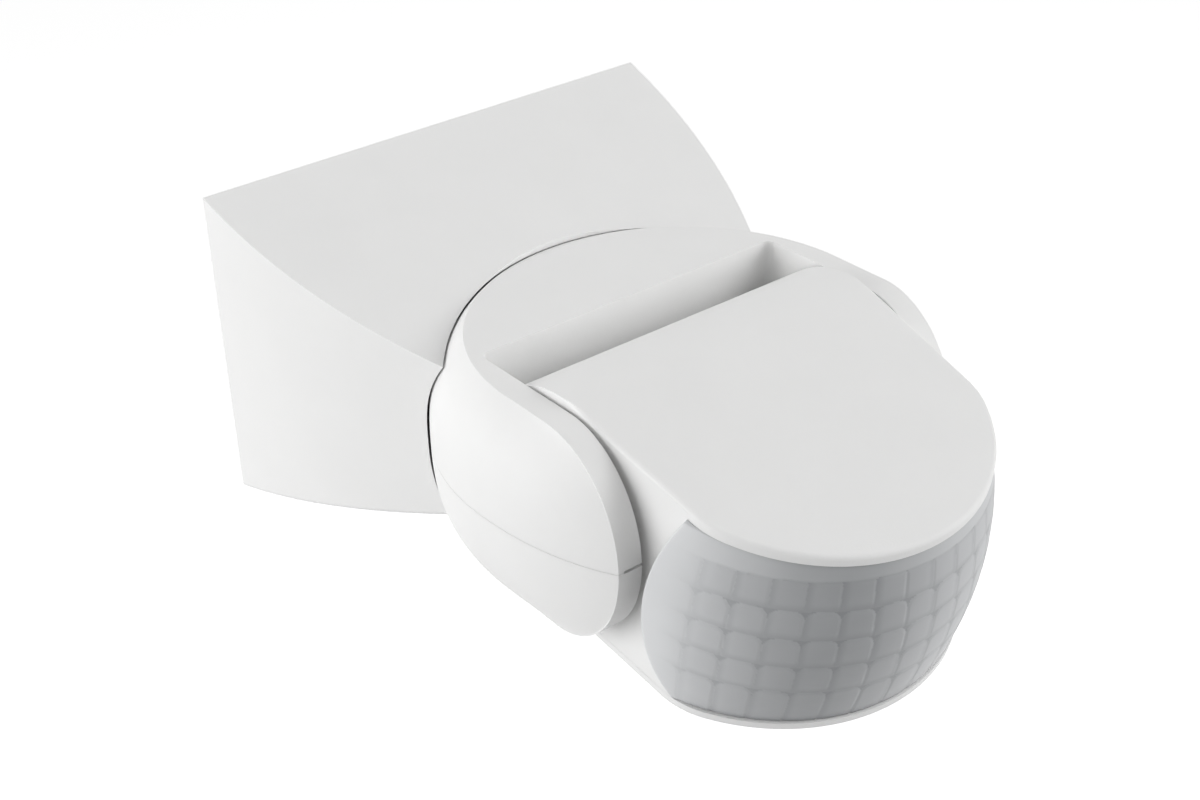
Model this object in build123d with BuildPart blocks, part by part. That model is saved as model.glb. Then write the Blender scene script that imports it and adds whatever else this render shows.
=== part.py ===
from build123d import *
import os
from math import asin, cos, degrees, radians, sin, sqrt, tan

# Wall-mounted passive-infrared motion sensor.
# A wall housing carries a yoke that pans in a curved seat, and the yoke's two arms carry a
# sensor head that tilts between them.
# Frame: origin at the centre of the wall face, +X right seen from in front, -Y out of the wall,
# +Z up.  Millimetres.

os.makedirs("parts", exist_ok=True)

# ---- driving dimensions -------------------------------------------------------------------

# wall housing
BASE_HALF_W = 40.0
BASE_HALF_H = 25.0
BASE_DEPTH = 50.0
SIDE_MID_IN = 3.9
SIDE_FRONT_IN = 15.1
TOP_FALL = 15.6
TOP_SAG = 0.25
BOTTOM_RISE = 13.75
WALL = 2.5
BASE_EDGE = 0.7

# yoke: a round back about the pan axis and two arms that reach past the tilt axis
MID_Z = -1.1
PAN_Y = -59.6
PAN_R = 30.0
PAN_BULGE = 5.5
BULGE_POWER = 2.8
YOKE_HALF_H = 15.85
YOKE_WALL = 2.2
ARM_END_R = 16.5
ARM_STRAIGHT = 2.5
ARM_EDGE_X = 30.15
POCKET_HALF_W = 26.35
POCKET_BACK_Y = -48.8
POCKET_WALL = 2.0
POCKET_CORNER_R = 1.2
SEAM_HALF = 0.02
SEAM_RELIEF_HALF = 0.22
SEAM_RELIEF_DEPTH = 2.0
SEAM_RELIEF_SIDE = 0.9
SEAT_GAP = 0.35
PAN_LIMIT = 25.0

# head: a barrel on the tilt axis, a flat top, a rising underside and a round nose
PIVOT_Y = -66.1
HEAD_PITCH = 15.2
UNDERSIDE_RISE = 6.45
HEAD_R = 17.0
HEAD_HALF_W = 25.85
HEAD_WALL = 2.0
HEAD_IN_HALF_W = 22.9
PLATE = 1.0
TOP_EDGE_R = 0.6
NOSE_BLEND_R = 12.0
# plans of the head: height above the tilt axis, narrowing of each side over NARROW_REACH,
# nose radius, nose centre ahead of the axis
NARROW_REACH = 22.0
HEAD_PLANS = ((HEAD_R, 1.35, 26.3, 12.8), (-HEAD_R - 2, 0.22, 28.75, 14.15))
LENS_LEAN = 3.8
LENS_AXIS_AHEAD = 11.9
LENS_AXIS_Z = 16.4
LENS_T = 1.3
LENS_GAP = 0.1

# pan neck and its retainer
NECK_HALF_W = 9.0
NECK_HALF_H = 5.5
NECK_BORE_HALF_W = 4.4
NECK_BORE_HALF_H = 3.5
NECK_OUT_R = 38.65
RETAINER_IN_R = 38.75
RETAINER_T = 2.5
RETAINER_HALF_H = 9.0
RETAINER_HALF_ANGLE = 17.0
NECK_SCREW_X = 6.7

# tilt axles
AXLE_R = 5.0
AXLE_BORE_R = 5.05
AXLE_HOLLOW_R = 3.2

# dials on the head's underside
DIAL_R = 5.0
DIAL_PITCH = 11.5
DIAL_AHEAD = 7.6
DIAL_T = 2.6

# common
FIT = 0.05
PCB_T = 1.6

# ---- frames -------------------------------------------------------------------------------


def pitched(origin, angle):
    """Plane through origin whose -Y points out of the wall, nose down by angle degrees."""
    return Plane(origin=origin, x_dir=(1, 0, 0), z_dir=(0, -sin(radians(angle)), cos(radians(angle))))


HEAD = pitched((0, PIVOT_Y, MID_Z), HEAD_PITCH)
UNDERSIDE_DROP = HEAD_R / cos(radians(UNDERSIDE_RISE))
UNDERSIDE_SLOPE = tan(radians(UNDERSIDE_RISE))
COVER = pitched(HEAD.from_local_coords((0, 0, -UNDERSIDE_DROP)), HEAD_PITCH - UNDERSIDE_RISE)
PAN_AXIS = Axis((0, PAN_Y, 0), (0, 0, 1))


def on_frame(frame, plane):
    """A plane given in a frame's own coordinates, as a plane of the whole model."""
    return Plane(frame.location * plane.location)


def underside_z(ahead):
    """Height of the underside above the tilt axis, in the head's frame."""
    return -UNDERSIDE_DROP + UNDERSIDE_SLOPE * ahead


# ---- wall housing -------------------------------------------------------------------------


def bulge(height):
    """How far the yoke's flank stands out of its top outline at a height above mid-plane."""
    return PAN_BULGE * (1 - (abs(height) / YOKE_HALF_H) ** BULGE_POWER)


def base_block(inset, back):
    """The housing's outline, drawn in by inset, from y = back to the pan seat."""
    half_w = BASE_HALF_W - inset
    top = BASE_HALF_H - inset
    bottom = -BASE_HALF_H + inset
    with BuildPart() as block:
        with BuildSketch(Plane.XY.offset(-BASE_HALF_H)):
            with BuildLine():
                right = ThreePointArc(
                    (half_w, 0),
                    (half_w - SIDE_MID_IN, -BASE_DEPTH / 2),
                    (half_w - SIDE_FRONT_IN, -BASE_DEPTH),
                )
                left = ThreePointArc(
                    (-half_w, 0),
                    (-half_w + SIDE_MID_IN, -BASE_DEPTH / 2),
                    (-half_w + SIDE_FRONT_IN, -BASE_DEPTH),
                )
                Line(right @ 1, left @ 1)
                behind = [(half_w, back), (-half_w, back)] if back > 0 else []
                Polyline(right @ 0, *behind, left @ 0)
            make_face()
        extrude(amount=2 * BASE_HALF_H)
        with BuildSketch(Plane.YZ):
            with BuildLine():
                upper = ThreePointArc(
                    (0, top),
                    (-BASE_DEPTH / 2, top - TOP_FALL / 2 - TOP_SAG),
                    (-BASE_DEPTH, top - TOP_FALL),
                )
                behind = [(back, bottom), (back, top)] if back > 0 else []
                Polyline(
                    upper @ 1,
                    (-BASE_DEPTH, bottom + BOTTOM_RISE),
                    (0, bottom),
                    *behind,
                    upper @ 0,
                )
            make_face()
        extrude(amount=BASE_HALF_W, both=True, mode=Mode.INTERSECT)
        add(seat_solid(SEAT_GAP + inset), mode=Mode.SUBTRACT)
    return block.part


def seat_solid(gap):
    """The yoke's round back, grown by gap and turned about the pan axis."""
    heights = [-YOKE_HALF_H + YOKE_HALF_H * step / 4 for step in range(9)]
    flank = [(PAN_Y + PAN_R + gap + bulge(height), MID_Z + height) for height in heights]
    with BuildPart() as solid:
        with BuildSketch(Plane.YZ):
            with BuildLine():
                Spline(*flank)
                Polyline(
                    flank[-1],
                    (flank[-1][0], BASE_HALF_H + 5),
                    (PAN_Y, BASE_HALF_H + 5),
                    (PAN_Y, -BASE_HALF_H - 5),
                    (flank[0][0], -BASE_HALF_H - 5),
                    flank[0],
                )
            make_face()
        revolve(axis=PAN_AXIS)
    return solid.part


PLATE_HALF_W = BASE_HALF_W - WALL - 0.2
PLATE_HALF_H = BASE_HALF_H - WALL - 0.2
PLATE_T = 3.0
LUG_X = 24.0
LUG_DEPTH = 9.0
LUG_TOP = -13.0
HOUSING_SCREW_Y = -PLATE_T - 4.5
SLOT_HALF_ANGLE = degrees(asin(NECK_HALF_W / (PAN_R + PAN_BULGE))) + PAN_LIMIT + 1.0
SLOT_HALF_H = NECK_HALF_H + 0.4
UNDER_Z = -BASE_HALF_H + BOTTOM_RISE * -HOUSING_SCREW_Y / BASE_DEPTH


def pan_sector(inner_r, outer_r, half_h, half_angle):
    """A curved block about the pan axis, centred on the side towards the wall."""
    reach = outer_r / cos(radians(half_angle))
    with BuildPart() as sector:
        with BuildSketch(Plane.XY.offset(MID_Z - half_h)):
            with Locations((0, PAN_Y)):
                Circle(outer_r)
                Circle(inner_r, mode=Mode.SUBTRACT)
            with Locations((0, PAN_Y)):
                side = (reach * sin(radians(half_angle)), reach * cos(radians(half_angle)))
                Polygon((0, 0), side, (-side[0], side[1]), align=None, mode=Mode.INTERSECT)
        extrude(amount=2 * half_h)
    return sector.part


seat_slot = pan_sector(PAN_R, NECK_OUT_R + 3, SLOT_HALF_H, SLOT_HALF_ANGLE)

with BuildPart() as wall_housing:
    add(base_block(0.0, 0.0))
    fillet(wall_housing.edges().filter_by(GeomType.BSPLINE, reverse=True).group_by(Axis.Y)[-2], BASE_EDGE)
    add(base_block(WALL, 1.0), mode=Mode.SUBTRACT)
    add(seat_slot, mode=Mode.SUBTRACT)
    with Locations(*[Pos(x, HOUSING_SCREW_Y, UNDER_Z) for x in (-LUG_X, LUG_X)]):
        Cylinder(1.6, 8, mode=Mode.SUBTRACT)
        Cylinder(3.1, 3.2, mode=Mode.SUBTRACT)
wall_housing.part.label = "wall_housing"
export_step(wall_housing.part, "parts/wall_housing.step")

# ---- back plate and what it carries -------------------------------------------------------

WALL_SCREW_X = 28.0
WALL_SCREW_R = 2.25
CABLE_Z = -10.4
GROMMET_R = 6.8
GROMMET_BORE_R = 4.2
GROMMET_FLANGE_R = 8.4
GROMMET_FLANGE_T = 1.0
SEAL_DEPTH = 1.0
SEAL_W = 2.0
TERMINAL_COUNT = 4
TERMINAL_PITCH = 8.0
TERMINAL_Z = 12.5
TERMINAL_H = 9.0
TERMINAL_DEPTH = 10.5
CAGE_HALF = 2.4
CLAMP_R = 1.5

terminal_xs = [TERMINAL_PITCH * (i - (TERMINAL_COUNT - 1) / 2) for i in range(TERMINAL_COUNT)]
wall_face = Plane.XZ


def plate_ring(half_w, half_h, width):
    """A rounded rectangular ring sketch on the plane in use."""
    RectangleRounded(2 * half_w, 2 * half_h, 3)
    RectangleRounded(2 * (half_w - width), 2 * (half_h - width), 2, mode=Mode.SUBTRACT)


with BuildPart() as back_plate:
    with BuildSketch(wall_face):
        RectangleRounded(2 * PLATE_HALF_W, 2 * PLATE_HALF_H, 2)
        with Locations((-WALL_SCREW_X, 0), (WALL_SCREW_X, 0)):
            Circle(WALL_SCREW_R, mode=Mode.SUBTRACT)
        with Locations((0, CABLE_Z)):
            Circle(GROMMET_R + FIT, mode=Mode.SUBTRACT)
    extrude(amount=PLATE_T)
    with BuildSketch(wall_face):
        plate_ring(PLATE_HALF_W - 1, PLATE_HALF_H - 1, SEAL_W)
        with Locations((0, CABLE_Z)):
            Circle(GROMMET_FLANGE_R + FIT)
    extrude(amount=SEAL_DEPTH, mode=Mode.SUBTRACT)
    with Locations(*[Pos(x, -PLATE_T, -PLATE_HALF_H) for x in (-LUG_X, LUG_X)]):
        Box(9, LUG_DEPTH, LUG_TOP + PLATE_HALF_H, align=(Align.CENTER, Align.MAX, Align.MIN))
    add(base_block(WALL + 0.3, 1.0), mode=Mode.INTERSECT)
    with Locations(*[Pos(x, HOUSING_SCREW_Y, LUG_TOP) for x in (-LUG_X, LUG_X)]):
        Cylinder(1.5 + FIT, 30, mode=Mode.SUBTRACT)
back_plate.part.label = "back_plate"
export_step(back_plate.part, "parts/back_plate.step")

with BuildPart() as rear_seal:
    with BuildSketch(wall_face):
        plate_ring(PLATE_HALF_W - 1 - FIT, PLATE_HALF_H - 1 - FIT, SEAL_W - 2 * FIT)
    extrude(amount=SEAL_DEPTH)
rear_seal.part.label = "rear_seal"
export_step(rear_seal.part, "parts/rear_seal.step")

with BuildPart() as cable_grommet:
    with BuildSketch(Plane.YZ):
        with BuildLine():
            Polyline(
                (0, CABLE_Z + GROMMET_BORE_R),
                (0, CABLE_Z + GROMMET_FLANGE_R),
                (-GROMMET_FLANGE_T, CABLE_Z + GROMMET_FLANGE_R),
                (-GROMMET_FLANGE_T, CABLE_Z + GROMMET_R),
                (-PLATE_T - FIT, CABLE_Z + GROMMET_R),
                (-PLATE_T - FIT, CABLE_Z + GROMMET_R + 0.9),
                (-PLATE_T - 1.2, CABLE_Z + GROMMET_R + 0.5),
                (-PLATE_T - 3.0, CABLE_Z + GROMMET_BORE_R + 1.0),
                (-PLATE_T - 3.0, CABLE_Z + GROMMET_BORE_R),
                close=True,
            )
        make_face()
    revolve(axis=Axis((0, 0, CABLE_Z), (0, 1, 0)))
cable_grommet.part.label = "cable_grommet"
export_step(cable_grommet.part, "parts/cable_grommet.step")

with BuildPart() as terminal_block:
    with Locations((0, -PLATE_T - FIT, TERMINAL_Z)):
        Box(
            TERMINAL_COUNT * TERMINAL_PITCH + 2,
            TERMINAL_DEPTH,
            TERMINAL_H,
            align=(Align.CENTER, Align.MAX, Align.CENTER),
        )
    chamfer(terminal_block.edges().filter_by(Axis.X).sort_by(Axis.Y)[0:2], 1.2)
    with Locations(*[Pos(x, -PLATE_T - 1.5, TERMINAL_Z) for x in terminal_xs]):
        Box(
            2 * CAGE_HALF + 2 * FIT,
            6,
            TERMINAL_H + 1,
            align=(Align.CENTER, Align.MAX, Align.CENTER),
            mode=Mode.SUBTRACT,
        )
    with Locations(*[Pos(x, -PLATE_T - TERMINAL_DEPTH, TERMINAL_Z) * Rot(X=90) for x in terminal_xs]):
        Cylinder(CLAMP_R + 0.4, 8, mode=Mode.SUBTRACT)
terminal_block.part.label = "terminal_block"
export_step(terminal_block.part, "parts/terminal_block.step")

with BuildPart() as terminal_cages:
    with Locations(*[Pos(x, -PLATE_T - 1.6, TERMINAL_Z) for x in terminal_xs]):
        Box(2 * CAGE_HALF, 5.6, 6, align=(Align.CENTER, Align.MAX, Align.CENTER))
        Box(
            2 * CAGE_HALF - 1.6,
            3.2,
            7,
            align=(Align.CENTER, Align.MAX, Align.CENTER),
            mode=Mode.SUBTRACT,
        )
    with Locations(*[Pos(x, -PLATE_T - 6.5, TERMINAL_Z) * Rot(X=90) for x in terminal_xs]):
        Cylinder(CLAMP_R + FIT, 5, mode=Mode.SUBTRACT)
terminal_cages.part.label = "terminal_cages"
export_step(terminal_cages.part, "parts/terminal_cages.step")


def slotted_screws(places, shank_r, length, head_r, head_h, slot_w):
    """Screws along each place's -Z, heads at the place itself, with a driver slot."""
    with BuildPart() as screws:
        with Locations(*places):
            Cylinder(shank_r, length, align=(Align.CENTER, Align.CENTER, Align.MAX))
            Cylinder(head_r, head_h, align=(Align.CENTER, Align.CENTER, Align.MIN))
        with Locations(*[place * Pos(Z=head_h) for place in places]):
            Box(2 * head_r + 1, slot_w, head_h, mode=Mode.SUBTRACT)
    return screws.part


with BuildPart() as terminal_screws:
    clamp_places = [Pos(x, -PLATE_T - 8.2, TERMINAL_Z) * Rot(X=90) for x in terminal_xs]
    add(slotted_screws(clamp_places, CLAMP_R, 4.2, CLAMP_R + 0.2, 1.4, 0.5))
terminal_screws.part.label = "terminal_screws"
export_step(terminal_screws.part, "parts/terminal_screws.step")

with BuildPart() as housing_screws:
    under_places = [Pos(x, HOUSING_SCREW_Y, UNDER_Z + 1.5) * Rot(X=180) for x in (-LUG_X, LUG_X)]
    add(slotted_screws(under_places, 1.5, 9, 2.9, 1.4, 0.8))
housing_screws.part.label = "housing_screws"
export_step(housing_screws.part, "parts/housing_screws.step")

# ---- yoke ---------------------------------------------------------------------------------

SECTION_HEIGHTS = [0.0, 5.0, 9.0, 12.0, 14.2, 15.4, YOKE_HALF_H]
NOSE_OVERRUN = 1.5
FLANK_LEAD = 0.6
YOKE_SCREW_X = 20.0
YOKE_SCREW_Y = -41.0
YOKE_BOSS_R = 3.2
YOKE_SCREW_SINK = 3.0


def yoke_half(upward, inset, top):
    """Lofted half of the yoke's round-backed outline, above (+1) or below (-1) mid-plane."""
    with BuildPart() as half:
        for height in SECTION_HEIGHTS:
            side = PAN_R + bulge(height) - inset
            front = PIVOT_Y - sqrt(ARM_END_R**2 - height**2)
            lead = PAN_Y + FLANK_LEAD * (front - PAN_Y)
            edge = ARM_EDGE_X - inset
            with BuildSketch(Plane.XY.offset(MID_Z + upward * height * top / YOKE_HALF_H)):
                with BuildLine():
                    ThreePointArc((side, PAN_Y), (0, PAN_Y + side), (-side, PAN_Y))
                    Bezier((-side, PAN_Y), (-side, lead), (-edge, front))
                    Polyline(
                        (-edge, front),
                        (-edge, front - NOSE_OVERRUN),
                        (edge, front - NOSE_OVERRUN),
                        (edge, front),
                    )
                    Bezier((edge, front), (side, lead), (side, PAN_Y))
                make_face()
        loft()
    return half.part


def arm_side(end_r, half_h):
    """Side view of the arms: flat top and bottom that run into a round end."""
    with BuildPart() as view:
        with BuildSketch(Plane.YZ):
            with Locations((PIVOT_Y - ARM_STRAIGHT, MID_Z)):
                Ellipse(end_r - ARM_STRAIGHT, half_h)
                Rectangle(60, 2 * half_h, align=(Align.MIN, Align.CENTER))
        extrude(amount=BASE_HALF_W, both=True)
    return view.part


def head_pocket(side_wall, back_wall, half_h):
    """The slot between the arms that the head tilts in, grown by its walls."""
    half_w = POCKET_HALF_W + side_wall
    with BuildPart() as pocket:
        with BuildSketch(Plane.XY.offset(MID_Z - half_h)):
            with Locations((0, POCKET_BACK_Y + back_wall)):
                Rectangle(2 * half_w, 60, align=(Align.CENTER, Align.MAX))
        extrude(amount=2 * half_h)
        fillet(pocket.edges().filter_by(Axis.Z).group_by(Axis.Y)[-1], POCKET_CORNER_R)
    return pocket.part


def yoke_shell(upward):
    """One half of the yoke: an open shell that closes on the other half at mid-plane."""
    with BuildPart() as cavity:
        add(yoke_half(upward, YOKE_WALL, YOKE_HALF_H - YOKE_WALL))
        add(arm_side(ARM_END_R - YOKE_WALL, YOKE_HALF_H - YOKE_WALL), mode=Mode.INTERSECT)
        add(head_pocket(POCKET_WALL, POCKET_WALL, YOKE_HALF_H + 1), mode=Mode.SUBTRACT)
        with Locations(*[Pos(x, YOKE_SCREW_Y, MID_Z) for x in (-YOKE_SCREW_X, YOKE_SCREW_X)]):
            Cylinder(YOKE_BOSS_R, 2 * YOKE_HALF_H, mode=Mode.SUBTRACT)
    with BuildPart() as shell:
        add(yoke_half(upward, 0.0, YOKE_HALF_H))
        add(arm_side(ARM_END_R, YOKE_HALF_H), mode=Mode.INTERSECT)
        add(head_pocket(0, 0, YOKE_HALF_H + 1), mode=Mode.SUBTRACT)
        add(cavity.part, mode=Mode.SUBTRACT)
        with Locations((0, PIVOT_Y, MID_Z)):
            Cylinder(AXLE_BORE_R, 2 * (ARM_EDGE_X - 0.5), rotation=(0, 90, 0), mode=Mode.SUBTRACT)
        with Locations((0, PAN_Y + PAN_R, MID_Z)):
            Box(2 * (NECK_HALF_W + FIT), 14, 2 * (NECK_HALF_H + FIT), mode=Mode.SUBTRACT)
            Box(200, 200, 2 * SEAM_HALF, mode=Mode.SUBTRACT)
        with Locations((0, PIVOT_Y - ARM_END_R, MID_Z)):
            Box(
                2 * (ARM_EDGE_X - SEAM_RELIEF_SIDE),
                2 * SEAM_RELIEF_DEPTH,
                2 * SEAM_RELIEF_HALF,
                mode=Mode.SUBTRACT,
            )
    return shell.part


screw_spots = [Pos(x, YOKE_SCREW_Y, MID_Z) for x in (-YOKE_SCREW_X, YOKE_SCREW_X)]

with BuildPart() as yoke_upper:
    add(yoke_shell(1))
    with Locations(*screw_spots):
        Cylinder(1.2 + FIT, 2 * 11, mode=Mode.SUBTRACT)
yoke_upper.part.label = "yoke_upper"
export_step(yoke_upper.part, "parts/yoke_upper.step")

with BuildPart() as yoke_lower:
    add(yoke_shell(-1))
    with Locations(*screw_spots):
        Cylinder(1.2 + FIT, 2 * YOKE_HALF_H, mode=Mode.SUBTRACT)
    with Locations(*[spot * Pos(Z=-YOKE_HALF_H) for spot in screw_spots]):
        Cylinder(2.5, 2 * YOKE_SCREW_SINK, mode=Mode.SUBTRACT)
yoke_lower.part.label = "yoke_lower"
export_step(yoke_lower.part, "parts/yoke_lower.step")

with BuildPart() as yoke_screws:
    heads = [spot * Pos(Z=YOKE_SCREW_SINK - YOKE_HALF_H) * Rot(X=180) for spot in screw_spots]
    add(slotted_screws(heads, 1.2, 20, 2.3, 1.6, 0.7))
yoke_screws.part.label = "yoke_screws"
export_step(yoke_screws.part, "parts/yoke_screws.step")

# ---- pan neck and retainer ----------------------------------------------------------------

NECK_IN_R = PAN_R + 0.2
NECK_FLANGE_R = PAN_R + 2.0
NECK_FLANGE_HALF_H = 7.5
RETAINER_SEAT_Y = PAN_Y + RETAINER_IN_R + 1.6
neck_screw_places = [
    Pos(x, RETAINER_SEAT_Y, MID_Z) * Rot(X=-90) for x in (-NECK_SCREW_X, NECK_SCREW_X)
]

with BuildPart() as pan_neck:
    add(pan_sector(NECK_IN_R, NECK_OUT_R, NECK_HALF_H, 30))
    with Locations((0, PAN_Y, MID_Z)):
        Box(2 * NECK_HALF_W, 100, 50, mode=Mode.INTERSECT)
    add(pan_sector(NECK_IN_R, NECK_FLANGE_R, NECK_FLANGE_HALF_H, 20))
    with Locations((0, PAN_Y + PAN_R, MID_Z)):
        Box(2 * NECK_BORE_HALF_W, 40, 2 * NECK_BORE_HALF_H, mode=Mode.SUBTRACT)
    with Locations(*neck_screw_places):
        Cylinder(1.2 + FIT, 2 * 8, mode=Mode.SUBTRACT)
pan_neck.part.label = "pan_neck"
export_step(pan_neck.part, "parts/pan_neck.step")

with BuildPart() as pan_retainer:
    add(pan_sector(RETAINER_IN_R, RETAINER_IN_R + RETAINER_T, RETAINER_HALF_H, RETAINER_HALF_ANGLE))
    with Locations((0, PAN_Y + RETAINER_IN_R, MID_Z)):
        Box(2 * NECK_BORE_HALF_W, 20, 2 * NECK_BORE_HALF_H, mode=Mode.SUBTRACT)
    with Locations(*neck_screw_places):
        Cylinder(1.2 + FIT, 2 * 8, mode=Mode.SUBTRACT)
        Cylinder(2.5, 5, align=(Align.CENTER, Align.CENTER, Align.MIN), mode=Mode.SUBTRACT)
pan_retainer.part.label = "pan_retainer"
export_step(pan_retainer.part, "parts/pan_retainer.step")

with BuildPart() as retainer_screws:
    add(slotted_screws([place * Pos(Z=FIT) for place in neck_screw_places], 1.2, 7.5, 2.2, 1.4, 0.6))
retainer_screws.part.label = "retainer_screws"
export_step(retainer_screws.part, "parts/retainer_screws.step")

# ---- tilt axles ---------------------------------------------------------------------------

AXLE_FLANGE_R = 7.0
AXLE_FLANGE_T = 1.5
AXLE_IN_X = HEAD_IN_HALF_W - AXLE_FLANGE_T - 0.1
AXLE_OUT_X = 30.9
CLIP_X = 28.9
CLIP_T = 0.9
CLIP_GROOVE_R = 4.3
WASHER_X = 25.95
WASHER_T = 0.3
WASHER_R = 9.0
tilt_centre = Plane((0, PIVOT_Y, MID_Z), x_dir=(0, 1, 0), z_dir=(1, 0, 0))


def tilt_tube(side, start, length, outer_r, inner_r):
    """A ring on the tilt axis, from x = start outwards on one side."""
    first = start if side > 0 else -start - length
    with BuildPart() as tube:
        with BuildSketch(tilt_centre.offset(first)):
            Circle(outer_r)
            Circle(inner_r, mode=Mode.SUBTRACT)
        extrude(amount=length)
    return tube.part


for side, side_name in ((-1, "left"), (1, "right")):
    with BuildPart() as tilt_axle:
        add(tilt_tube(side, AXLE_IN_X, AXLE_OUT_X - AXLE_IN_X, AXLE_R, AXLE_HOLLOW_R))
        add(tilt_tube(side, AXLE_IN_X, AXLE_FLANGE_T, AXLE_FLANGE_R, AXLE_HOLLOW_R))
        add(tilt_tube(side, CLIP_X, CLIP_T + 2 * FIT, AXLE_R + 1, CLIP_GROOVE_R), mode=Mode.SUBTRACT)
    tilt_axle.part.label = f"tilt_axle_{side_name}"
    export_step(tilt_axle.part, f"parts/tilt_axle_{side_name}.step")

with BuildPart() as tilt_clips:
    for side in (-1, 1):
        add(tilt_tube(side, CLIP_X + FIT, CLIP_T, AXLE_R + 1.7, CLIP_GROOVE_R + FIT))
    with Locations((0, PIVOT_Y, MID_Z - AXLE_R)):
        Box(100, 5.5, 2 * AXLE_R, mode=Mode.SUBTRACT)
tilt_clips.part.label = "tilt_clips"
export_step(tilt_clips.part, "parts/tilt_clips.step")

with BuildPart() as tilt_washers:
    for side in (-1, 1):
        add(tilt_tube(side, WASHER_X, WASHER_T, WASHER_R, AXLE_R + 0.1))
tilt_washers.part.label = "tilt_washers"
export_step(tilt_washers.part, "parts/tilt_washers.step")

# ---- head shells --------------------------------------------------------------------------

NOSE_LIMIT = 60.0
COVER_REAR = 2.5
EDGE_TOP = (20.0, 15.5)
EDGE_MID = (18.9, 3.9)
EDGE_BOTTOM_AHEAD = 25.2
HEAD_SCREW_X = 18.8
BOSS_X = 19.8
BOSS_W = 7.2
HEAD_SCREWS_AHEAD = (2.5, 17.5)
STANDOFF_R = 3.3
STANDOFF_TOP = 3.6
head_side = on_frame(HEAD, Plane.YZ)


def head_bar(radius, half_w):
    """Barrel, flat top and rising underside, all tangent to a circle about the tilt axis."""
    rise = radians(UNDERSIDE_RISE)
    with BuildPart() as bar:
        with BuildSketch(head_side):
            with BuildLine():
                back = ThreePointArc(
                    (-radius * sin(rise), -radius * cos(rise)), (radius, 0), (0, radius)
                )
                nose_z = -radius / cos(rise) + UNDERSIDE_SLOPE * NOSE_LIMIT
                Polyline(back @ 1, (-NOSE_LIMIT, radius), (-NOSE_LIMIT, nose_z), back @ 0)
            make_face()
        extrude(amount=half_w, both=True)
    return bar.part


def window_block(gap):
    """Everything ahead of the lens edge, between the top plate and the bottom cover."""
    with BuildPart() as block:
        with BuildSketch(head_side):
            with BuildLine():
                foot = underside_z(EDGE_BOTTOM_AHEAD) + PLATE + gap
                edge = ThreePointArc(
                    (-EDGE_TOP[0] - gap, EDGE_TOP[1] - gap),
                    (-EDGE_MID[0] - gap, EDGE_MID[1]),
                    (-EDGE_BOTTOM_AHEAD - gap, foot),
                )
                Polyline(
                    edge @ 1,
                    (-NOSE_LIMIT, underside_z(NOSE_LIMIT) + PLATE + gap),
                    (-NOSE_LIMIT, EDGE_TOP[1] - gap),
                    edge @ 0,
                )
            make_face()
        extrude(amount=BASE_HALF_W, both=True)
    return block.part


def cover_block(gap):
    """The layer that the bottom cover is cut from, under the head."""
    with BuildPart() as block:
        with Locations(COVER.location):
            with Locations((0, COVER_REAR + gap, PLATE + gap)):
                Box(100, NOSE_LIMIT + 20, 20, align=(Align.CENTER, Align.MAX, Align.MAX))
    return block.part


with BuildPart() as head_column:
    for height, narrowing, nose_r, ahead in HEAD_PLANS:
        far_half_w = HEAD_HALF_W - narrowing * NOSE_LIMIT / NARROW_REACH
        with BuildSketch(on_frame(HEAD, Plane.XY.offset(height))) as plan:
            with Locations((0, -ahead)):
                Circle(nose_r)
                Rectangle(2 * HEAD_HALF_W, NOSE_LIMIT, align=(Align.CENTER, Align.MIN))
            Polygon(
                (HEAD_HALF_W, NOSE_LIMIT),
                (HEAD_HALF_W, 0),
                (far_half_w, -NOSE_LIMIT),
                (-far_half_w, -NOSE_LIMIT),
                (-HEAD_HALF_W, 0),
                (-HEAD_HALF_W, NOSE_LIMIT),
                align=None,
                mode=Mode.INTERSECT,
            )
            fillet(plan.vertices().group_by(Axis.Y)[0], NOSE_BLEND_R)
    loft(ruled=True)

boss_places = [
    COVER.location * Pos(x, -ahead, 0)
    for x in (-HEAD_SCREW_X, HEAD_SCREW_X)
    for ahead in HEAD_SCREWS_AHEAD
]

boss_boxes = [
    COVER.location * Pos(x, -ahead, STANDOFF_TOP + FIT)
    for x in (-BOSS_X, BOSS_X)
    for ahead in HEAD_SCREWS_AHEAD
]

with BuildPart() as head_top_shell:
    add(head_column.part)
    fillet(head_top_shell.edges().group_by(Axis(HEAD.origin, HEAD.z_dir))[-1], TOP_EDGE_R)
    add(head_bar(HEAD_R, HEAD_HALF_W + 2), mode=Mode.INTERSECT)
    add(head_bar(HEAD_R - HEAD_WALL, HEAD_IN_HALF_W), mode=Mode.SUBTRACT)
    add(window_block(0), mode=Mode.SUBTRACT)
    with Locations(COVER.location * Pos(0, COVER_REAR - 1, 0)):
        Box(
            2 * HEAD_IN_HALF_W,
            NOSE_LIMIT,
            5,
            align=(Align.CENTER, Align.MAX, Align.MIN),
            mode=Mode.SUBTRACT,
        )
    with Locations(*boss_boxes):
        Box(BOSS_W, 6, 5.4, align=(Align.CENTER, Align.CENTER, Align.MIN))
    with Locations(*boss_places):
        Cylinder(1.2 + FIT, 2 * 8.5, mode=Mode.SUBTRACT)
    with Locations((0, PIVOT_Y, MID_Z)):
        Cylinder(AXLE_R + FIT, 100, rotation=(0, 90, 0), mode=Mode.SUBTRACT)
    add(cover_block(FIT / 2), mode=Mode.SUBTRACT)
head_top_shell.part.label = "head_top_shell"
export_step(head_top_shell.part, "parts/head_top_shell.step")

dial_places = [COVER.location * Pos(DIAL_PITCH * i, -DIAL_AHEAD, 0) for i in (-1, 0, 1)]

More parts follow.
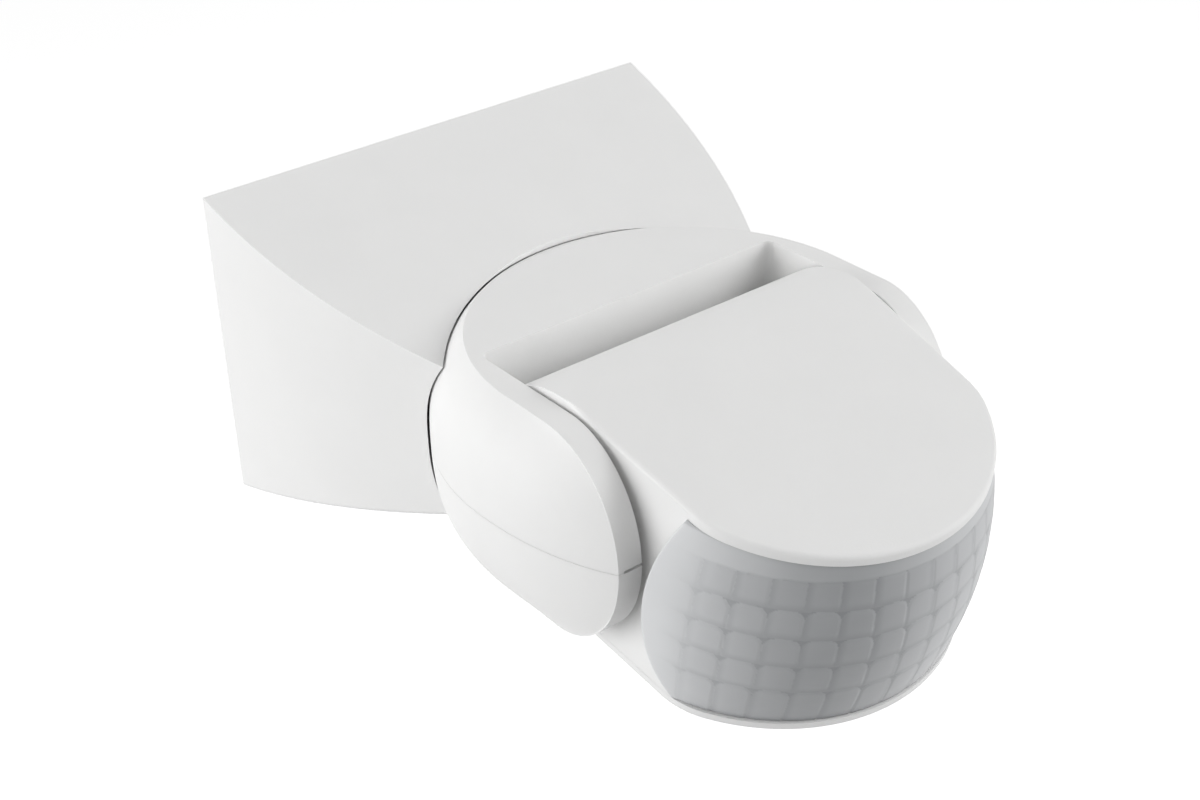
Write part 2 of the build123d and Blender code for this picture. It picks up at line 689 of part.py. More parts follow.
with BuildPart() as head_bottom_cover:
    add(head_bar(HEAD_R, HEAD_HALF_W + 2))
    add(head_column.part, mode=Mode.INTERSECT)
    add(cover_block(0), mode=Mode.INTERSECT)
    with Locations(*boss_places):
        Cylinder(STANDOFF_R, STANDOFF_TOP, align=(Align.CENTER, Align.CENTER, Align.MIN))
        Cylinder(1.2 + FIT, 20, mode=Mode.SUBTRACT)
        Cylinder(2.5, 2 * 2.0, mode=Mode.SUBTRACT)
    with Locations(*dial_places):
        Cylinder(DIAL_R + 0.25, 20, mode=Mode.SUBTRACT)
head_bottom_cover.part.label = "head_bottom_cover"
export_step(head_bottom_cover.part, "parts/head_bottom_cover.step")

with BuildPart() as head_screws:
    head_seats = [place * Pos(Z=2.0 - FIT) * Rot(X=180) for place in boss_places]
    add(slotted_screws(head_seats, 1.2, 6, 2.3, 1.5, 0.6))
head_screws.part.label = "head_screws"
export_step(head_screws.part, "parts/head_screws.step")

# ---- lens ---------------------------------------------------------------------------------

LENS = pitched(HEAD.from_local_coords((0, -LENS_AXIS_AHEAD, LENS_AXIS_Z)), HEAD_PITCH - LENS_LEAN)
LENS_TOP = (26.3, 0.8)
LENS_MID = (29.2, 14.5)
LENS_FOOT = (27.8, 30.5)
LENS_HOLLOW_HALF_W = 23.6


def lens_barrel(inset):
    """The lens's bulged outline turned about its own axis, drawn in by inset."""
    with BuildPart() as barrel:
        with BuildSketch(on_frame(LENS, Plane.YZ)):
            with BuildLine():
                face = ThreePointArc(
                    (-LENS_TOP[0] + inset, -LENS_TOP[1]),
                    (-LENS_MID[0] + inset, -LENS_MID[1]),
                    (-LENS_FOOT[0] + inset, -LENS_FOOT[1]),
                )
                Polyline(face @ 1, (0, -LENS_FOOT[1]), (0, -LENS_TOP[1]), face @ 0)
            make_face()
        revolve(axis=Axis(LENS.origin, LENS.z_dir))
    return barrel.part


with BuildPart() as lens_void:
    add(window_block(LENS_GAP + LENS_T))
    with Locations(HEAD.location):
        Box(2 * LENS_HOLLOW_HALF_W, 2 * NOSE_LIMIT, 80)
    add(lens_barrel(LENS_T), mode=Mode.INTERSECT)

with BuildPart() as fresnel_lens:
    add(lens_barrel(0))
    add(window_block(LENS_GAP), mode=Mode.INTERSECT)
    add(lens_void.part, mode=Mode.SUBTRACT)
fresnel_lens.part.label = "fresnel_lens"
export_step(fresnel_lens.part, "parts/fresnel_lens.step")

# ---- electronics in the head --------------------------------------------------------------

BOARD_Z = 7.0
BOARD_HALF_W = 15.2
BOARD_REAR = 6.0
BOARD_FRONT = 19.0
ON_BOARD = BOARD_Z + PCB_T + FIT
SENSOR_BOARD_AHEAD = 11.0
SENSOR_AHEAD = SENSOR_BOARD_AHEAD + PCB_T + FIT
SENSOR_Z = 17.0
POT_SIZE = 7.5
POT_BOTTOM = 3.2


def in_head(x, ahead, height):
    """A place in the head, measured from the underside below the tilt axis."""
    return COVER.location * Pos(x, -ahead, height)


def facing_out(x, height):
    """A place on the sensor board whose Z points out through the lens."""
    return in_head(x, SENSOR_AHEAD, height) * Rot(X=90)


with BuildPart() as main_board:
    with Locations(in_head(0, (BOARD_FRONT - BOARD_REAR) / 2, BOARD_Z)):
        Box(
            2 * BOARD_HALF_W,
            BOARD_FRONT + BOARD_REAR,
            PCB_T,
            align=(Align.CENTER, Align.CENTER, Align.MIN),
        )
main_board.part.label = "main_board"
export_step(main_board.part, "parts/main_board.step")

with BuildPart() as sensor_board:
    with Locations(in_head(0, SENSOR_BOARD_AHEAD, ON_BOARD)):
        Box(28, PCB_T, 16.5, align=(Align.CENTER, Align.MAX, Align.MIN))
sensor_board.part.label = "sensor_board"
export_step(sensor_board.part, "parts/sensor_board.step")

with BuildPart() as pir_sensor:
    with Locations(facing_out(0, SENSOR_Z)):
        Cylinder(4.6, 0.6, align=(Align.CENTER, Align.CENTER, Align.MIN))
        Cylinder(4.1, 4.0, align=(Align.CENTER, Align.CENTER, Align.MIN))
    with Locations(facing_out(0, SENSOR_Z) * Pos(Z=4.0)):
        Box(4.6, 3.6, 0.8, mode=Mode.SUBTRACT)
pir_sensor.part.label = "pir_sensor"
export_step(pir_sensor.part, "parts/pir_sensor.step")

with BuildPart() as pir_filter:
    with Locations(facing_out(0, SENSOR_Z) * Pos(Z=3.6 + FIT)):
        Box(4.5, 3.5, 0.3, align=(Align.CENTER, Align.CENTER, Align.MIN))
pir_filter.part.label = "pir_filter"
export_step(pir_filter.part, "parts/pir_filter.step")

with BuildPart() as status_led:
    with Locations(facing_out(10, SENSOR_Z + 3)):
        Cylinder(1.9, 0.8, align=(Align.CENTER, Align.CENTER, Align.MIN))
        Cylinder(1.5, 3.0, align=(Align.CENTER, Align.CENTER, Align.MIN))
    with Locations(facing_out(10, SENSOR_Z + 3) * Pos(Z=3.0)):
        Sphere(1.5)
status_led.part.label = "status_led"
export_step(status_led.part, "parts/status_led.step")

with BuildPart() as photocell:
    with Locations(facing_out(-10, SENSOR_Z + 3)):
        Cylinder(2.5, 2.0, align=(Align.CENTER, Align.CENTER, Align.MIN))
photocell.part.label = "photocell"
export_step(photocell.part, "parts/photocell.step")

with BuildPart() as relay:
    with Locations(in_head(-6.5, 2, ON_BOARD)):
        Box(19, 14, 14.5, align=(Align.CENTER, Align.CENTER, Align.MIN))
    chamfer(relay.edges().group_by(Axis(COVER.origin, COVER.z_dir))[-1], 0.6)
relay.part.label = "relay"
export_step(relay.part, "parts/relay.step")

with BuildPart() as electrolytic_capacitor:
    with Locations(in_head(9.5, -1.2, ON_BOARD)):
        Cylinder(4.0, 12.0, align=(Align.CENTER, Align.CENTER, Align.MIN))
electrolytic_capacitor.part.label = "electrolytic_capacitor"
export_step(electrolytic_capacitor.part, "parts/electrolytic_capacitor.step")

with BuildPart() as film_capacitor:
    with Locations(in_head(9.5, 6.3, ON_BOARD)):
        Box(12, 5, 9.5, align=(Align.CENTER, Align.CENTER, Align.MIN))
film_capacitor.part.label = "film_capacitor"
export_step(film_capacitor.part, "parts/film_capacitor.step")

with BuildPart() as potentiometers:
    with Locations(*[place * Pos(Z=POT_BOTTOM) for place in dial_places]):
        Box(
            POT_SIZE,
            POT_SIZE,
            BOARD_Z - POT_BOTTOM - FIT,
            align=(Align.CENTER, Align.CENTER, Align.MIN),
        )
        Cylinder(1.5 + FIT, 2 * 3.4, mode=Mode.SUBTRACT)
potentiometers.part.label = "potentiometers"
export_step(potentiometers.part, "parts/potentiometers.step")

for place, dial_name in zip(dial_places, ("lux", "time", "range")):
    with BuildPart() as dial:
        with Locations(place * Pos(Z=-0.2)):
            Cylinder(DIAL_R, DIAL_T, align=(Align.CENTER, Align.CENTER, Align.MIN))
            Cylinder(1.5, 6.2, align=(Align.CENTER, Align.CENTER, Align.MIN))
            Box(1.3, 2 * DIAL_R - 2.4, 2 * 1.0, mode=Mode.SUBTRACT)
    dial.part.label = f"dial_{dial_name}"
    export_step(dial.part, f"parts/dial_{dial_name}.step")
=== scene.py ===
import math

import bmesh
import bpy
from mathutils import Matrix, Vector


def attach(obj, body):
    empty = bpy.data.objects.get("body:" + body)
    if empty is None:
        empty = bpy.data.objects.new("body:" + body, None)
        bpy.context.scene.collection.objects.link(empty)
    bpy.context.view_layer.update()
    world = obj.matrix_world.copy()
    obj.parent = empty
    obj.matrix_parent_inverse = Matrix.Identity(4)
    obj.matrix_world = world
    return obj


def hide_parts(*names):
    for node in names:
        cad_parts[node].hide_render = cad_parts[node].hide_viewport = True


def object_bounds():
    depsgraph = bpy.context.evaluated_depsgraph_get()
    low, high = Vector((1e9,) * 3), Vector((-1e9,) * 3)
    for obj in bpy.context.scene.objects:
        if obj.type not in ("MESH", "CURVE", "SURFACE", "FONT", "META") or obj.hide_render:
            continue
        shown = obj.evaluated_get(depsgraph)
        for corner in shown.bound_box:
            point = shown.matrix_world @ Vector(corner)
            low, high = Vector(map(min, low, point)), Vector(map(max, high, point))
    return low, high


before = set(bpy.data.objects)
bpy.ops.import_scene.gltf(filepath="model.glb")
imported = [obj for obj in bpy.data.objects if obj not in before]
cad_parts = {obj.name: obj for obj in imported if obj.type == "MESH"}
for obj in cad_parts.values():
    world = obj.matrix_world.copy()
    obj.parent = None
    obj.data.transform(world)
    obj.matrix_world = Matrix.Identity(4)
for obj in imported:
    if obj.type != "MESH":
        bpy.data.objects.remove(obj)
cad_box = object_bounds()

# Wall-mounted motion sensor.  Metres, in the CAD frame: origin at the centre of the wall face,
# +X right seen from in front, -Y out of the wall, +Z up.

MM = 0.001

# ---- camera -------------------------------------------------------------------------------

CAMERA_AZIMUTH = math.radians(-37.76)
CAMERA_ELEVATION = math.radians(30.98)
CAMERA_ROLL = math.radians(-1.56)
CAMERA_PLACE = Vector((-0.15177, -0.23681, 0.14257))
CAMERA_LENS = 58.04
SENSOR_WIDTH = 36.0
CLIP_NEAR, CLIP_FAR = 0.01, 20.0


def make_camera():
    """The photograph's viewpoint: azimuth 0 looks along +Y."""
    data = bpy.data.cameras.new("camera")
    data.sensor_width = SENSOR_WIDTH
    data.lens = CAMERA_LENS
    data.clip_start, data.clip_end = CLIP_NEAR, CLIP_FAR
    camera = bpy.data.objects.new("camera", data)
    bpy.context.scene.collection.objects.link(camera)
    a, e, r = CAMERA_AZIMUTH, CAMERA_ELEVATION, CAMERA_ROLL
    right = Vector((math.cos(a), math.sin(a), 0))
    back = Vector((math.sin(a) * math.cos(e), -math.cos(a) * math.cos(e), math.sin(e)))
    up = back.cross(right)
    x_axis = right * math.cos(r) + up * math.sin(r)
    y_axis = up * math.cos(r) - right * math.sin(r)
    turn = Matrix((x_axis, y_axis, back)).transposed().to_4x4()
    camera.matrix_world = Matrix.Translation(CAMERA_PLACE) @ turn
    bpy.context.scene.camera = camera


# ---- light --------------------------------------------------------------------------------

# Strength of the surround below, at and above the horizon.  It fades upwards over SKY_FADE, and the
# bright part reaches HORIZON_DIP under the horizon; both are heights of a direction one unit long.
BELOW = 0.42
HORIZON = 1.0
ZENITH = 0.32
SKY_FADE = 0.3
HORIZON_DIP = 0.04

# Name, place, side of the square in metres and power in watts; all aim at the object's middle.
SOFTBOXES = (
    ("softbox_left", (-0.75, 0.19, 0.17), 0.6, 3.9),
    ("softbox_right", (0.55, -0.60, 0.38), 0.6, 4.3),
    ("softbox_top", (-0.05, 0.6, 0.75), 0.7, 2.9),
)
OBJECT_MIDDLE = (0.0, -0.054, 0.0)

# The floor's half width, how far it lies below the object, and the strength of its glow.
FLOOR_HALF = 30.0
FLOOR_DROP = 0.6
FLOOR_GLOW = 0.66


def area_light(name, place, aim, size, power):
    """A square softbox at place, facing aim."""
    data = bpy.data.lights.new(name, "AREA")
    data.shape = "SQUARE"
    data.size = size
    data.energy = power
    lamp = bpy.data.objects.new(name, data)
    bpy.context.scene.collection.objects.link(lamp)
    lamp.location = place
    lamp.rotation_mode = "QUATERNION"
    lamp.rotation_quaternion = (Vector(aim) - Vector(place)).to_track_quat("-Z", "Y")


def make_light():
    """Soft studio light: a pale surround and the softboxes."""
    world = bpy.data.worlds.new("surround")
    bpy.context.scene.world = world
    world.use_nodes = True
    nodes, links = world.node_tree.nodes, world.node_tree.links
    direction = nodes.new("ShaderNodeTexCoord").outputs["Generated"]
    parts = nodes.new("ShaderNodeSeparateXYZ")
    links.new(direction, parts.inputs["Vector"])
    height = nodes.new("ShaderNodeMapRange")
    height.interpolation_type = "SMOOTHSTEP"
    height.inputs["From Max"].default_value = SKY_FADE
    height.inputs["To Min"].default_value = HORIZON
    height.inputs["To Max"].default_value = ZENITH
    links.new(parts.outputs["Z"], height.inputs["Value"])
    above = nodes.new("ShaderNodeMath")
    above.operation = "GREATER_THAN"
    above.inputs[1].default_value = -HORIZON_DIP
    links.new(parts.outputs["Z"], above.inputs[0])
    level = nodes.new("ShaderNodeMix")
    level.inputs["A"].default_value = BELOW
    links.new(above.outputs["Value"], level.inputs["Factor"])
    links.new(height.outputs["Result"], level.inputs["B"])
    links.new(level.outputs["Result"], nodes["Background"].inputs["Strength"])
    nodes["Background"].inputs["Color"].default_value = (1.0, 1.0, 1.0, 1.0)
    for name, place, size, power in SOFTBOXES:
        area_light(name, place, OBJECT_MIDDLE, size, power)


def make_floor():
    """A plain pale floor under the object, well below it, since the object hangs on a wall."""
    mesh = bpy.data.meshes.new("floor")
    level = cad_box[0].z - FLOOR_DROP
    signs = ((-1, -1), (1, -1), (1, 1), (-1, 1))
    corners = [(FLOOR_HALF * x, FLOOR_HALF * y, level) for x, y in signs]
    mesh.from_pydata(corners, [], [(0, 1, 2, 3)])
    floor = bpy.data.objects.new("floor", mesh)
    bpy.context.scene.collection.objects.link(floor)
    floor.data.materials.append(floor_material())
    floor.visible_diffuse = False


def floor_material():
    """Matte white paper that glows evenly, like a light table."""
    material = bpy.data.materials.new("floor_paper")
    material.use_nodes = True
    shader = material.node_tree.nodes["Principled BSDF"]
    shader.inputs["Base Color"].default_value = (0.9, 0.9, 0.9, 1.0)
    shader.inputs["Roughness"].default_value = 0.9
    shader.inputs["Specular IOR Level"].default_value = 0.0
    shader.inputs["Emission Color"].default_value = (1.0, 1.0, 1.0, 1.0)
    shader.inputs["Emission Strength"].default_value = FLOOR_GLOW
    return material


# ---- materials ----------------------------------------------------------------------------


def new_material(name):
    """A material with its nodes, its links and its shader."""
    material = bpy.data.materials.new(name)
    material.use_nodes = True
    nodes = material.node_tree.nodes
    return material, nodes, material.node_tree.links, nodes["Principled BSDF"]


def noise(nodes, links, place, scale, detail=2.0, rough=0.5):
    """A noise texture in the object's own metres."""
    texture = nodes.new("ShaderNodeTexNoise")
    texture.inputs["Scale"].default_value = scale
    texture.inputs["Detail"].default_value = detail
    texture.inputs["Roughness"].default_value = rough
    links.new(place, texture.inputs["Vector"])
    return texture.outputs["Fac"]


def ramp_colour(nodes, links, value, dark, light, low=0.35, high=0.65):
    """Two close shades of one colour, mixed by value."""
    ramp = nodes.new("ShaderNodeValToRGB")
    ramp.color_ramp.elements[0].position = low
    ramp.color_ramp.elements[0].color = (*dark, 1.0)
    ramp.color_ramp.elements[1].position = high
    ramp.color_ramp.elements[1].color = (*light, 1.0)
    links.new(value, ramp.inputs["Fac"])
    return ramp.outputs["Color"]


def ranged(nodes, links, value, low, high):
    """value, from 0..1, carried to low..high."""
    node = nodes.new("ShaderNodeMapRange")
    node.inputs["To Min"].default_value = low
    node.inputs["To Max"].default_value = high
    links.new(value, node.inputs["Value"])
    return node.outputs["Result"]


def moulded(name, colour, vary=0.006, roughness=0.5, vary_rough=0.06, grain=3500.0, depth=0.02,
            metallic=0.0, specular=0.5, subsurface=0.0, cloud=90.0):
    """Moulded or plated surface: slow shade drift, uneven gloss and a fine grain."""
    material, nodes, links, shader = new_material(name)
    place = nodes.new("ShaderNodeTexCoord").outputs["Object"]
    drift = noise(nodes, links, place, cloud, 3.0)
    dark = tuple(c * (1 - vary) for c in colour)
    light = tuple(c * (1 + vary) for c in colour)
    links.new(ramp_colour(nodes, links, drift, dark, light), shader.inputs["Base Color"])
    fine = noise(nodes, links, place, grain, 2.0, 0.6)
    rough = ranged(nodes, links, fine, roughness - vary_rough, roughness + vary_rough)
    links.new(rough, shader.inputs["Roughness"])
    bump = nodes.new("ShaderNodeBump")
    bump.inputs["Strength"].default_value = 1.0
    bump.inputs["Distance"].default_value = depth * MM
    links.new(fine, bump.inputs["Height"])
    links.new(bump.outputs["Normal"], shader.inputs["Normal"])
    shader.inputs["Metallic"].default_value = metallic
    shader.inputs["Specular IOR Level"].default_value = specular
    if subsurface:
        shader.inputs["Subsurface Weight"].default_value = subsurface
        shader.inputs["Subsurface Radius"].default_value = (1.0, 1.0, 1.0)
        shader.inputs["Subsurface Scale"].default_value = 1.5 * MM
    return material


def paint_all():
    """A material for each of the record's slots, given to the nodes that use it."""
    made = {
        "white_shell": moulded("shell_plastic", (0.86, 0.86, 0.855), roughness=0.55, subsurface=0.15),
        "white_inner": moulded("inner_plastic", (0.8, 0.8, 0.79), roughness=0.6, grain=2500.0),
        "black_rubber": moulded("rubber", (0.03, 0.03, 0.03), 0.2, 0.75, grain=5000.0, depth=0.03),
        "terminal_plastic": moulded("terminal_plastic", (0.68, 0.7, 0.66), 0.03, 0.5),
        "brass": moulded("brass", (0.72, 0.55, 0.26), 0.06, 0.32, metallic=1.0, depth=0.01),
        "zinc_steel": moulded("zinc_plate", (0.66, 0.67, 0.7), 0.08, 0.34, metallic=1.0, depth=0.01),
        "grey_washer": moulded("washer_plastic", (0.42, 0.43, 0.44), 0.04, 0.55),
        "lens": moulded("lens_plastic", (0.54, 0.55, 0.56), 0.02, 0.3, depth=0.004),
        "circuit_board": moulded("solder_mask", (0.03, 0.2, 0.09), 0.15, 0.32, cloud=400.0),
        "sensor_can": moulded("can_metal", (0.74, 0.74, 0.75), 0.03, 0.28, metallic=1.0, depth=0.005),
        "sensor_filter": moulded("filter_glass", (0.03, 0.025, 0.03), 0.1, 0.1, 0.03, depth=0.001),
        "led": moulded("led_epoxy", (0.7, 0.06, 0.05), 0.05, 0.15, 0.03, depth=0.002, subsurface=0.5),
        "photocell": moulded("photocell_lacquer", (0.66, 0.4, 0.2), 0.12, 0.3, cloud=900.0),
        "relay_case": moulded("relay_plastic", (0.08, 0.2, 0.5), 0.04, 0.35),
        "capacitor_sleeve": moulded("sleeve_film", (0.04, 0.04, 0.07), 0.15, 0.25, depth=0.005),
        "film_case": moulded("film_case", (0.66, 0.58, 0.12), 0.05, 0.35),
        "potentiometer": moulded("pot_plastic", (0.12, 0.3, 0.55), 0.05, 0.4),
        "dial": moulded("dial_plastic", (0.2, 0.21, 0.22), 0.06, 0.5),
    }
    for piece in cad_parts.values():
        for place in piece.material_slots:
            place.material = made[place.material.name]


# ---- lens ---------------------------------------------------------------------------------

# The head's and the lens's places and outlines, as in the CAD.
HEAD_PITCH = math.radians(15.2)
LENS_PITCH = math.radians(11.4)
TILT_AXLE = Vector((0.0, -66.1, -1.1)) * MM
HEAD_R = 17.0 * MM
LENS_AXIS_AHEAD = 11.9 * MM
LENS_AXIS_Z = 16.4 * MM
TOP_GAP_Z = 15.4 * MM
UNDERSIDE_DROP = HEAD_R / math.cos(math.radians(6.45))
UNDERSIDE_SLOPE = math.tan(math.radians(6.45))
COVER_GAP = 1.1 * MM
LENS_T = 1.3 * MM

# The window ends above this depth, and its side edges lie between these turns from straight ahead.
LENS_DEEPEST = 34 * MM
EDGE_TURNS = math.radians(40), math.radians(88)

# Three points in millimetres on the arc of the window's side edge (ahead of the tilt axle, height
# in the head) and on the arc of the lens's profile (radius, depth down the lens's own axis).
EDGE_ARC = ((20.1, 15.4), (19.0, 3.9), (25.3, -13.16))
LENS_PROFILE = ((26.3, 0.8), (29.2, 14.5), (27.8, 30.5))

# Rows of cells: depths of the lines between them in millimetres; then in degrees each row's pitch,
# the first column's start, the turn where the cells change hands, and where the cells fade out.
ROW_LINES = (4.83, 9.06, 13.56, 18.19, 23.04, 31.0)
ROW_PITCH = (9.1, 9.3, 9.45, 9.5, 9.55)
FIRST_COLUMN = -64.2
MIRROR_TURN = -12.0
FADE_FROM, FADE_TO = 56.0, 73.0

# One cell's relief: its height, the widths in millimetres of its crisp and soft borders, its upper
# corners' radii, how high it stands at the foot of its soft border, how much painted shade it gets
# there (partly standing for the thinner plastic), and the width over which the colour of the rows
# begins above the first.
CELL_RISE = 0.1 * MM
CRISP, SOFT = 0.4, 1.3
TOP_ROW_ROUND, ROW_ROUND = 0.35, 1.5
SOFT_FOOT = 0.35
SOFT_SHADE = 0.6
TOP_BLEND = 0.3

# The window's border: its height, the widths of its rounded rim and of the painted shade at its foot in
# millimetres, how dark that painted shade gets, and how far the whole outside stays under the CAD's
# surface.
WINDOW_H = 27.0
RIM_W = 0.5
RIM_ROUND = 0.05 * MM
FOOT_SHADE = 1.6
FOOT_DARKNESS = 0.6
SKIN = 0.02 * MM

# Painted light and shade: the lens is painted greyest at this turn in degrees and paler over these many
# degrees to either side.
PAINTED_SHADE_TURN = -27.0
PAINTED_LIGHT_LEFT, PAINTED_LIGHT_RIGHT = 50.0, 40.0
RIGHT_PAINTED_LIGHT = 0.55

# How many cells of mesh the lens has across and down.
ACROSS, DOWN = 420, 156


def circle_through(a, b, c):
    """Centre and radius of the circle through three points of a plane."""
    ax, ay = b[0] - a[0], b[1] - a[1]
    bx, by = c[0] - a[0], c[1] - a[1]
    d = 2 * (ax * by - ay * bx)
    ux = (by * (ax * ax + ay * ay) - ay * (bx * bx + by * by)) / d
    uy = (ax * (bx * bx + by * by) - bx * (ax * ax + ay * ay)) / d
    return (a[0] + ux, a[1] + uy), math.hypot(ux, uy)


PROFILE_CENTRE, PROFILE_R = circle_through(*LENS_PROFILE)
EDGE_CENTRE, EDGE_R = circle_through(*EDGE_ARC)


class Tilted:
    """Axes that lean forward by pitch about X, at a place in the model's frame."""

    def __init__(self, origin, pitch):
        self.origin = origin
        self.y = Vector((0, math.cos(pitch), math.sin(pitch)))
        self.z = Vector((0, -math.sin(pitch), math.cos(pitch)))

    def out(self, x, y, z):
        """A place in these axes, in the model's frame."""
        return self.origin + Vector((x, 0, 0)) + self.y * y + self.z * z

    def inside(self, p):
        """A place in the model's frame, in these axes."""
        d = p - self.origin
        return Vector((d.x, d.dot(self.y), d.dot(self.z)))


HEAD = Tilted(TILT_AXLE, HEAD_PITCH)
LENS = Tilted(HEAD.out(0, -LENS_AXIS_AHEAD, LENS_AXIS_Z), LENS_PITCH)


def lens_radius(depth):
    """Radius of the lens's outside at a depth down the lens's own axis, in metres."""
    fall = depth / MM - PROFILE_CENTRE[1]
    return (PROFILE_CENTRE[0] + math.sqrt(PROFILE_R ** 2 - fall ** 2)) * MM


def lens_point(turn, depth, sink=0.0):
    """A point of the lens: turned from straight ahead, at a depth, sunk under the surface."""
    r = lens_radius(depth) - sink
    return LENS.out(r * math.sin(turn), -r * math.cos(turn), -depth)


def window_share(p):
    """0 at the window's top edge, 1 at its bottom edge, for a point given in model metres."""
    q = HEAD.inside(p)
    foot = -UNDERSIDE_DROP - UNDERSIDE_SLOPE * q.y + COVER_GAP
    return (TOP_GAP_Z - q.z) / (TOP_GAP_Z - foot)


def solve(value, low, high, steps=26):
    """Where the rising function value crosses zero."""
    for _ in range(steps):
        middle = (low + high) / 2
        low, high = (middle, high) if value(middle) < 0 else (low, middle)
    return (low + high) / 2


def depth_at(turn, share):
    """The depth on the lens at a turn and a share of the window's height."""
    return solve(lambda d: window_share(lens_point(turn, d)) - share, 0.0, LENS_DEEPEST)


def edge_ahead(z):
    """How far ahead of the tilt axle the window's side edge runs, by height in the head."""
    rise = z / MM - EDGE_CENTRE[1]
    return (EDGE_CENTRE[0] - math.sqrt(EDGE_R ** 2 - rise ** 2)) * MM


def edge_turn(share):
    """How far round the lens reaches at a share of the window's height."""

    def behind(turn):
        q = HEAD.inside(lens_point(turn, depth_at(turn, share)))
        return q.y + edge_ahead(q.z)

    return solve(behind, *EDGE_TURNS)


def ease(x):
    """0 below 0, 1 above 1, smooth between."""
    x = min(max(x, 0.0), 1.0)
    return x * x * (3 - 2 * x)


def cell_at(turn, depth):
    """The pillow cells at a place on the lens, as three values from 0 to 1: how far the surface
    sinks between cells, how much painted shade it gets there (partly the thinner plastic), and whether
    it belongs to the rows of cells."""
    d = depth / MM
    visible = 1 - ease((abs(math.degrees(turn)) - FADE_FROM) / (FADE_TO - FADE_FROM))
    if d < ROW_LINES[0]:
        return 0.0, 0.0, visible * (1 - ease((ROW_LINES[0] - d) / TOP_BLEND))
    row = sum(d > line for line in ROW_LINES[1:-1])
    pitch = ROW_PITCH[row]
    column = (math.degrees(turn) - FIRST_COLUMN) / pitch
    width = math.radians(pitch) * lens_radius(depth) / MM
    sloped = (column - math.floor(column)) * width
    sharp = width - sloped
    if FIRST_COLUMN + (math.floor(column) + 0.5) * pitch > MIRROR_TURN:
        sloped, sharp = sharp, sloped
    top = d - ROW_LINES[row]
    bottom = ROW_LINES[row + 1] - d
    round_r = TOP_ROW_ROUND if row == 0 else ROW_ROUND
    corner = math.inf
    if top < round_r:
        for side in (sloped, sharp):
            if side < round_r:
                corner = min(corner, round_r - math.hypot(round_r - side, round_r - top))
    if corner < 0:
        # A notch at a cell's upper corner: sunk fully, with full painted shade.
        return visible, visible, visible
    rise = min(ease(sharp / CRISP), ease(top / CRISP), ease(corner / CRISP))
    slope = ease(sloped / SOFT) * ease(bottom / SOFT)
    sink = 1 - rise * (SOFT_FOOT + (1 - SOFT_FOOT) * slope)
    # Painted shade on the cell's soft border, partly standing for the thinner plastic there.
    return sink * visible, (1 - slope) * SOFT_SHADE * visible, visible


def lens_painted_shading(turn):
    """Painted light and shade across the lens: 1 where it is painted greyest, 0 where it is painted
    palest.
    """
    aside = math.degrees(turn) - PAINTED_SHADE_TURN
    return 1 - (ease(-aside / PAINTED_LIGHT_LEFT) + RIGHT_PAINTED_LIGHT * ease(aside / PAINTED_LIGHT_RIGHT))


def lens_rows(mesh):
    """Rows of vertices, outside and inside, with what the material reads stored on the outside."""
    marks = [mesh.verts.layers.float.new(name) for name in ("shade", "celled", "painted_shading")]
    outside, inside = [], []
    for j in range(DOWN + 1):
        share = j / DOWN
        reach = edge_turn(share)
        outer_row, inner_row = [], []
        for i in range(ACROSS + 1):
            turn = reach * (2 * i / ACROSS - 1)
            depth = depth_at(turn, share)
            cell_sink, cell_shade, celled = cell_at(turn, depth)
            # Painted light and shade across the lens, stored for the material.
            painted_shading = lens_painted_shading(turn)
            above_foot = (1 - share) * WINDOW_H
            # Painted shade: between cells, and at the window's foot by the rim, strongest where the
            # lens is painted greyest.
            shade = max(cell_shade, FOOT_DARKNESS * (1 - ease(above_foot / FOOT_SHADE)) * painted_shading)
            to_side = (reach - abs(turn)) * lens_radius(depth) / MM
            to_rim = min(share * WINDOW_H, above_foot, to_side)
            rim_sink = RIM_ROUND * (1 - ease(to_rim / RIM_W)) ** 2
            vert = mesh.verts.new(lens_point(turn, depth, SKIN + CELL_RISE * cell_sink + rim_sink))
            for mark, value in zip(marks, (shade, celled, painted_shading)):
                vert[mark] = value
            outer_row.append(vert)
            inner_row.append(mesh.verts.new(lens_point(turn, depth, LENS_T)))
        outside.append(outer_row)
        inside.append(inner_row)
    return outside, inside


def close_shell(mesh, outside, inside):
    """Faces over both sides and round the rim, all turned outwards."""
    for j in range(DOWN):
        for i in range(ACROSS):
            a, b, c, d = outside[j][i], outside[j][i + 1], outside[j + 1][i + 1], outside[j + 1][i]
            mesh.faces.new((a, d, c, b))
            a, b, c, d = inside[j][i], inside[j][i + 1], inside[j + 1][i + 1], inside[j + 1][i]
            mesh.faces.new((a, b, c, d))
    loop = [(0, i) for i in range(ACROSS)] + [(j, ACROSS) for j in range(DOWN)]
    loop += [(DOWN, i) for i in range(ACROSS, 0, -1)] + [(j, 0) for j in range(DOWN, 0, -1)]
    for (j0, i0), (j1, i1) in zip(loop, loop[1:] + loop[:1]):
        mesh.faces.new((outside[j0][i0], outside[j1][i1], inside[j1][i1], inside[j0][i0]))
    bmesh.ops.recalc_face_normals(mesh, faces=mesh.faces)


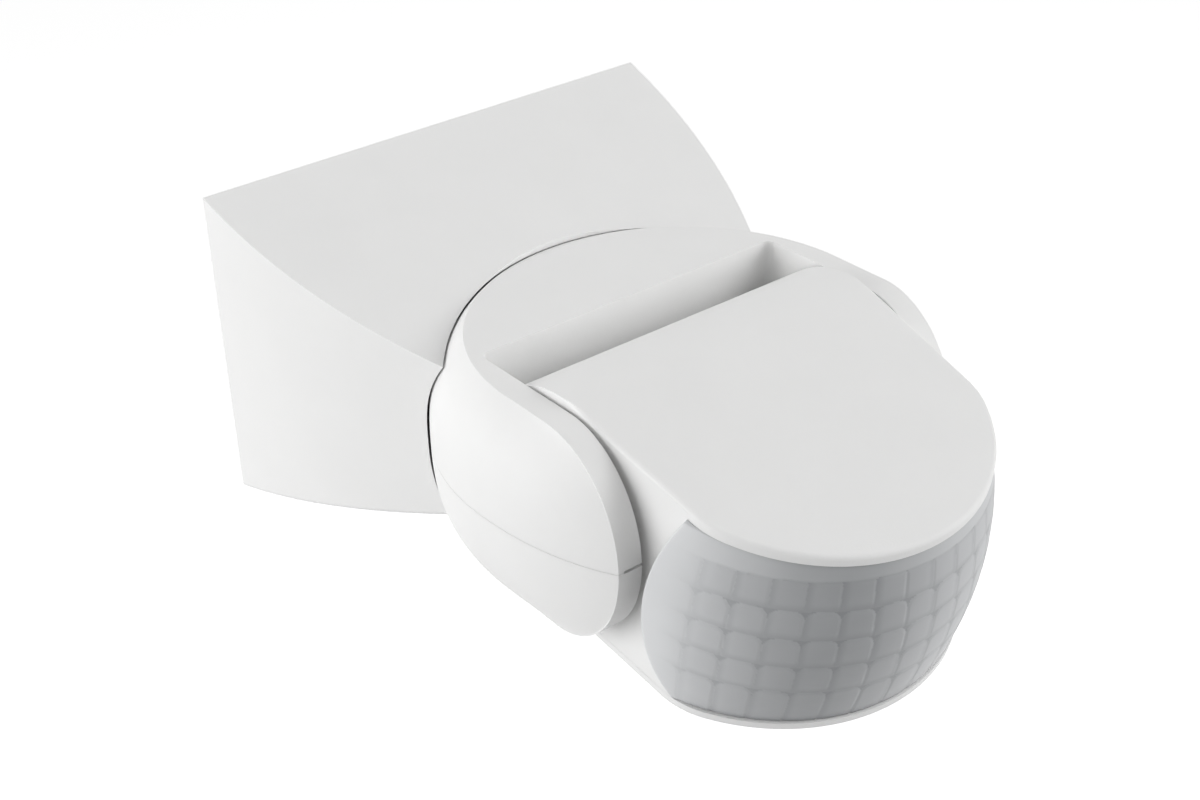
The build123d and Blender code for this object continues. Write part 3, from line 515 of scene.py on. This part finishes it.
def make_lens():
    """The bulged window with its pillow cells outside, a plain inside and a closed rim."""
    mesh = bmesh.new()
    close_shell(mesh, *lens_rows(mesh))
    data = bpy.data.meshes.new("segmented_lens")
    mesh.to_mesh(data)
    mesh.free()
    data.polygons.foreach_set("use_smooth", [True] * len(data.polygons))
    piece = bpy.data.objects.new("segmented_lens", data)
    bpy.context.scene.collection.objects.link(piece)
    piece.data.materials.append(lens_material())
    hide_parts("fresnel_lens")
    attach(piece, "head")


def lens_material():
    """Milky satin plastic, greyer in the rows of cells; painted light pales it towards its sides, and
    painted shade greys it most between cells.
    """
    material, nodes, links, shader = new_material("lens_plastic")
    place = nodes.new("ShaderNodeTexCoord").outputs["Object"]
    drift = noise(nodes, links, place, 160.0, 3.0)
    # Painted light and shade: a lit, pale copy of the plastic for the sides and a shaded, grey copy for
    # the middle.
    sides = ramp_colour(nodes, links, drift, (0.69, 0.70, 0.71), (0.71, 0.72, 0.73))
    middle = ramp_colour(nodes, links, drift, (0.36, 0.37, 0.38), (0.38, 0.39, 0.40))
    colour = mixed(nodes, links, attribute(nodes, "painted_shading"), sides, middle)
    colour = mixed(nodes, links, attribute(nodes, "celled"), colour, (0.88, 0.88, 0.885), "MULTIPLY")
    # Painted shade: between cells, and at the window's foot by the rim.
    colour = mixed(nodes, links, attribute(nodes, "shade"), colour, (0.74, 0.745, 0.75), "MULTIPLY")
    links.new(colour, shader.inputs["Base Color"])
    fine = noise(nodes, links, place, 2600.0, 2.0, 0.6)
    links.new(ranged(nodes, links, fine, 0.34, 0.46), shader.inputs["Roughness"])
    bump = nodes.new("ShaderNodeBump")
    bump.inputs["Distance"].default_value = 0.006 * MM
    links.new(fine, bump.inputs["Height"])
    links.new(bump.outputs["Normal"], shader.inputs["Normal"])
    return material


# The mix node's colour sockets, by number, because it has several of the same name.
COLOUR_A, COLOUR_B, COLOUR_OUT = 6, 7, 2


def attribute(nodes, name):
    """A value stored in the mesh."""
    node = nodes.new("ShaderNodeAttribute")
    node.attribute_name = name
    return node.outputs["Fac"]


def mixed(nodes, links, share, first, second, blend="MIX"):
    """first where share is 0, second laid over it where share is 1."""
    node = nodes.new("ShaderNodeMix")
    node.data_type = "RGBA"
    node.blend_type = blend
    links.new(share, node.inputs["Factor"])
    for socket, colour in ((node.inputs[COLOUR_A], first), (node.inputs[COLOUR_B], second)):
        if isinstance(colour, tuple):
            socket.default_value = (*colour, 1.0)
        else:
            links.new(colour, socket)
    return node.outputs[COLOUR_OUT]


make_camera()
make_light()
make_floor()
paint_all()
make_lens()
bpy.context.scene.view_settings.view_transform = "Standard"
